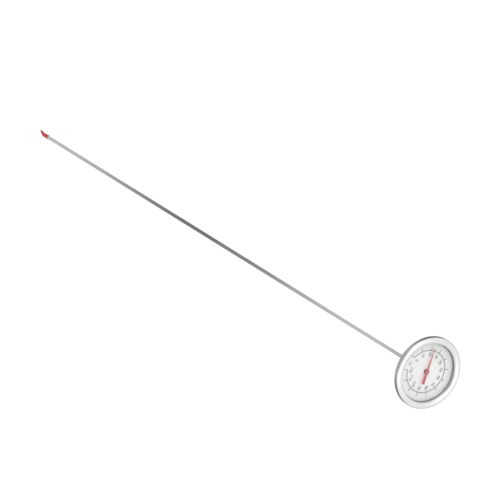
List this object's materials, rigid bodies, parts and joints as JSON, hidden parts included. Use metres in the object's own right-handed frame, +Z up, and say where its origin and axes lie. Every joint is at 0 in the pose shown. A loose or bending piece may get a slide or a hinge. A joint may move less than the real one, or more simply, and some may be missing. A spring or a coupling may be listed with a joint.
{
  "type": "dial thermometer",
  "caption": "Long-stem bimetal dial thermometer: a round glazed dial square on the end of a thin metal probe, with a turning pointer, a calibration nut and a pull-off tip cap.",
  "frame": {"origin": "on the stem axis, at the underside of the hex nut where the bare stem begins", "axes": "+Z up the stem axis and out through the dial, +Y towards the dial's 12 o'clock, +X towards 3 o'clock"},
  "size_m": [0.05, 0.05, 0.5202],
  "materials": {
    "case_steel": "stamped stainless steel, satin",
    "bezel_steel": "polished rolled stainless steel",
    "lens_glass": "clear flat glass",
    "gasket_rubber": "dark grey rubber, matt",
    "spacer_steel": "thin rolled band, satin",
    "dial_paint": "white baked enamel, semi-matt",
    "nut_steel": "turned stainless steel",
    "spring_steel": "oiled spring steel",
    "stem_steel": "drawn stainless tube, ground",
    "bimetal": "rolled bimetal strip, dull",
    "collar_brass": "turned brass",
    "shaft_steel": "straightened drawn wire",
    "bush_brass": "turned brass",
    "pointer_paint": "red paint, semi-gloss",
    "hub_paint": "red paint on brass",
    "cap_vinyl": "soft dipped vinyl, red"
  },
  "bodies": {
    "stem": {"stem_tube": "stem_steel", "tip_plug": "stem_steel", "hex_nut": "nut_steel", "friction_washer": "spring_steel", "retaining_ring": "spring_steel", "bimetal_coil": "bimetal", "guide_bush_upper": "bush_brass", "guide_bush_middle": "bush_brass", "guide_bush_lower": "bush_brass"},
    "head": {"case": "case_steel", "bezel": "bezel_steel", "lens": "lens_glass", "lens_gasket": "gasket_rubber", "spacer_ring": "spacer_steel", "dial_plate": "dial_paint"},
    "rotor": {"transmission_shaft": "shaft_steel", "coil_collar": "collar_brass", "pointer_hub": "hub_paint", "pointer": "pointer_paint"},
    "tip_cap": {"tip_cap": "cap_vinyl"}
  },
  "joints": [
    {"name": "head_calibration", "type": "hinge", "parent": "stem", "child": "head", "pos_m": [0, 0, 0.0058], "axis": [0, 0, -1], "continuous": true},
    {"name": "pointer_turn", "type": "hinge", "parent": "stem", "child": "rotor", "pos_m": [0, 0, 0.0058], "axis": [0, 0, -1], "range_deg": [-59.4, 264.6], "stiffness_Nm_per_rad": 0.0001, "deforming": ["bimetal_coil"]},
    {"name": "tip_cap_pull", "type": "slide", "parent": "stem", "child": "tip_cap", "axis": [0, 0, -1], "range_m": [0, 0.03]}
  ]
}
